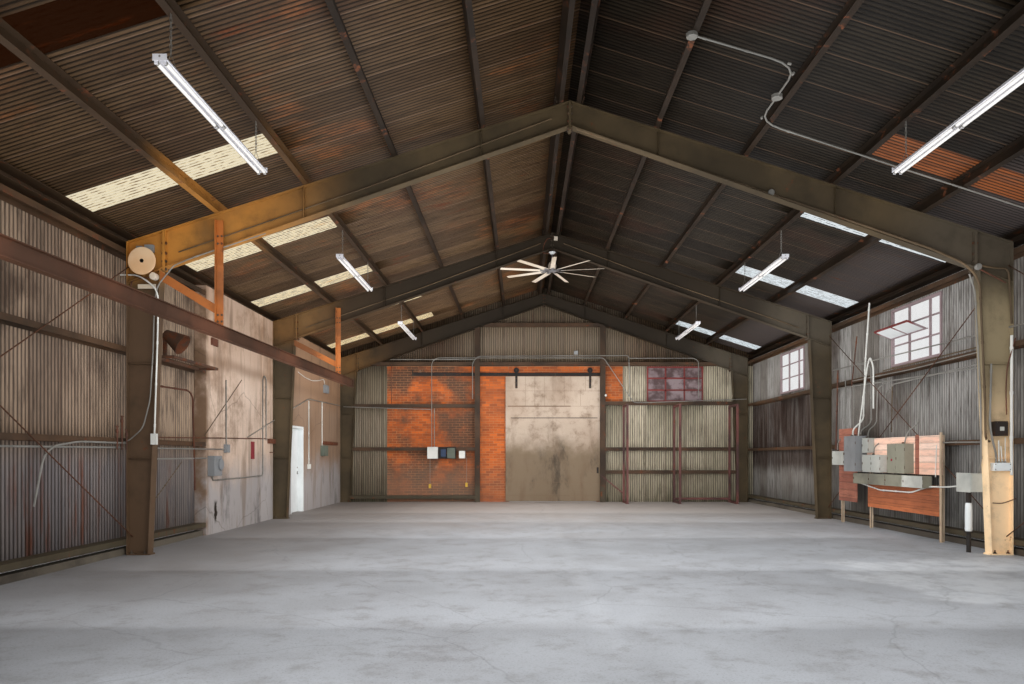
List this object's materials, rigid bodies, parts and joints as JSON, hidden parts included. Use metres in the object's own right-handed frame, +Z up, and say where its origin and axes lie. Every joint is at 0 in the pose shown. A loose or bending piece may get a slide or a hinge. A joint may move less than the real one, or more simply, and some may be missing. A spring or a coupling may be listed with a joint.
{
  "type": "metal garage, a clear-span steel building seen from inside",
  "caption": "Hollow steel garage on tapered frames, with corrugated sheets, a brick rear wall, a sliding door, a side door and a ceiling fan.",
  "frame": {"origin": "centre of the building's footprint at ground level, under the floor slab", "axes": "+X to the right when the rear gable is faced from the front doorway, +Y towards the rear gable, +Z up"},
  "size_m": [12.788, 18.98, 6.603],
  "materials": {
    "board_wood": "stained board",
    "box_paint": "grey paint",
    "brick": "red brick",
    "concrete": "worn grey concrete",
    "dark_steel": "dark paint",
    "door_frame": "white paint",
    "door_panel": "weathered beige paint",
    "fan_blades": "dull metal",
    "fan_body": "dull metal",
    "frame_paint": "aged olive-beige paint",
    "girt_steel": "dark rusted paint",
    "glass": "dusty glass",
    "lamp_enamel": "white enamel",
    "light_enamel": "white enamel",
    "plaster": "stained render",
    "purlin_steel": "dark rusted paint",
    "rack_paint": "red-brown paint",
    "rail_steel": "dark red-brown paint",
    "roof_sheet": "dirty galvanised",
    "rust_cowl": "rusted",
    "skylight": "translucent stained",
    "wall_sheet": "weathered galvanised",
    "white_door": "white paint",
    "window_paint": "red-brown paint"
  },
  "bodies": {
    "building": {"brick_coping": "wall_sheet", "brick_lintel": "brick", "brick_wall_left": "brick", "brick_wall_right": "brick", "column_boxes": "box_paint", "cowl_shelf": "rust_cowl", "door_track": "dark_steel", "fan_mount": "fan_body", "floor_slab": "concrete", "front_framing_left": "girt_steel", "front_framing_right": "girt_steel", "front_header": "girt_steel", "front_sheets_left": "wall_sheet", "front_sheets_right": "wall_sheet", "front_sheets_top": "wall_sheet", "horn_cowl": "rust_cowl", "kerbs": "concrete", "knee_lamp": "lamp_enamel", "left_columns": "frame_paint", "left_girts": "girt_steel", "left_masonry_front": "plaster", "left_masonry_lintel": "plaster", "left_masonry_rear": "plaster", "left_purlins": "purlin_steel", "left_rafters": "frame_paint", "left_roof_sheets": "roof_sheet", "left_skylights": "skylight", "left_wall_sheets": "wall_sheet", "man_door_frame": "door_frame", "overhead_rail": "rail_steel", "pipe_rack": "rack_paint", "rail_hangers": "rail_steel", "rear_framing_left": "girt_steel", "rear_framing_middle": "girt_steel", "rear_framing_right": "girt_steel", "rear_sheets_left": "wall_sheet", "rear_sheets_right": "wall_sheet", "rear_sheets_top": "wall_sheet", "ridge_cap": "roof_sheet", "right_columns": "frame_paint", "right_girts": "girt_steel", "right_purlins": "purlin_steel", "right_rafters": "frame_paint", "right_roof_sheets": "roof_sheet", "right_skylights": "skylight", "right_wall_sheets": "wall_sheet", "strip_lights": "light_enamel", "switch_boxes": "box_paint", "switchboards": "board_wood", "wall_bracing": "girt_steel", "window_frames": "window_paint", "window_glass": "glass"},
    "man_door": {"man_door": "white_door"},
    "sliding_door": {"sliding_door": "door_panel"},
    "fan_rotor": {"fan_rotor": "fan_blades"}
  },
  "joints": [
    {"name": "man_door_swing", "type": "hinge", "parent": "building", "child": "man_door", "pos_m": [-6.2087, 4.3163, 1.21], "axis": [0, 0, -1], "range_deg": [0, 90]},
    {"name": "sliding_door_travel", "type": "slide", "parent": "building", "child": "sliding_door", "axis": [-1, 0, 0], "range_m": [0, 2.74]},
    {"name": "fan_spin", "type": "hinge", "parent": "building", "child": "fan_rotor", "pos_m": [0, 3.048, 5.55], "axis": [0, 0, 1], "continuous": true}
  ]
}
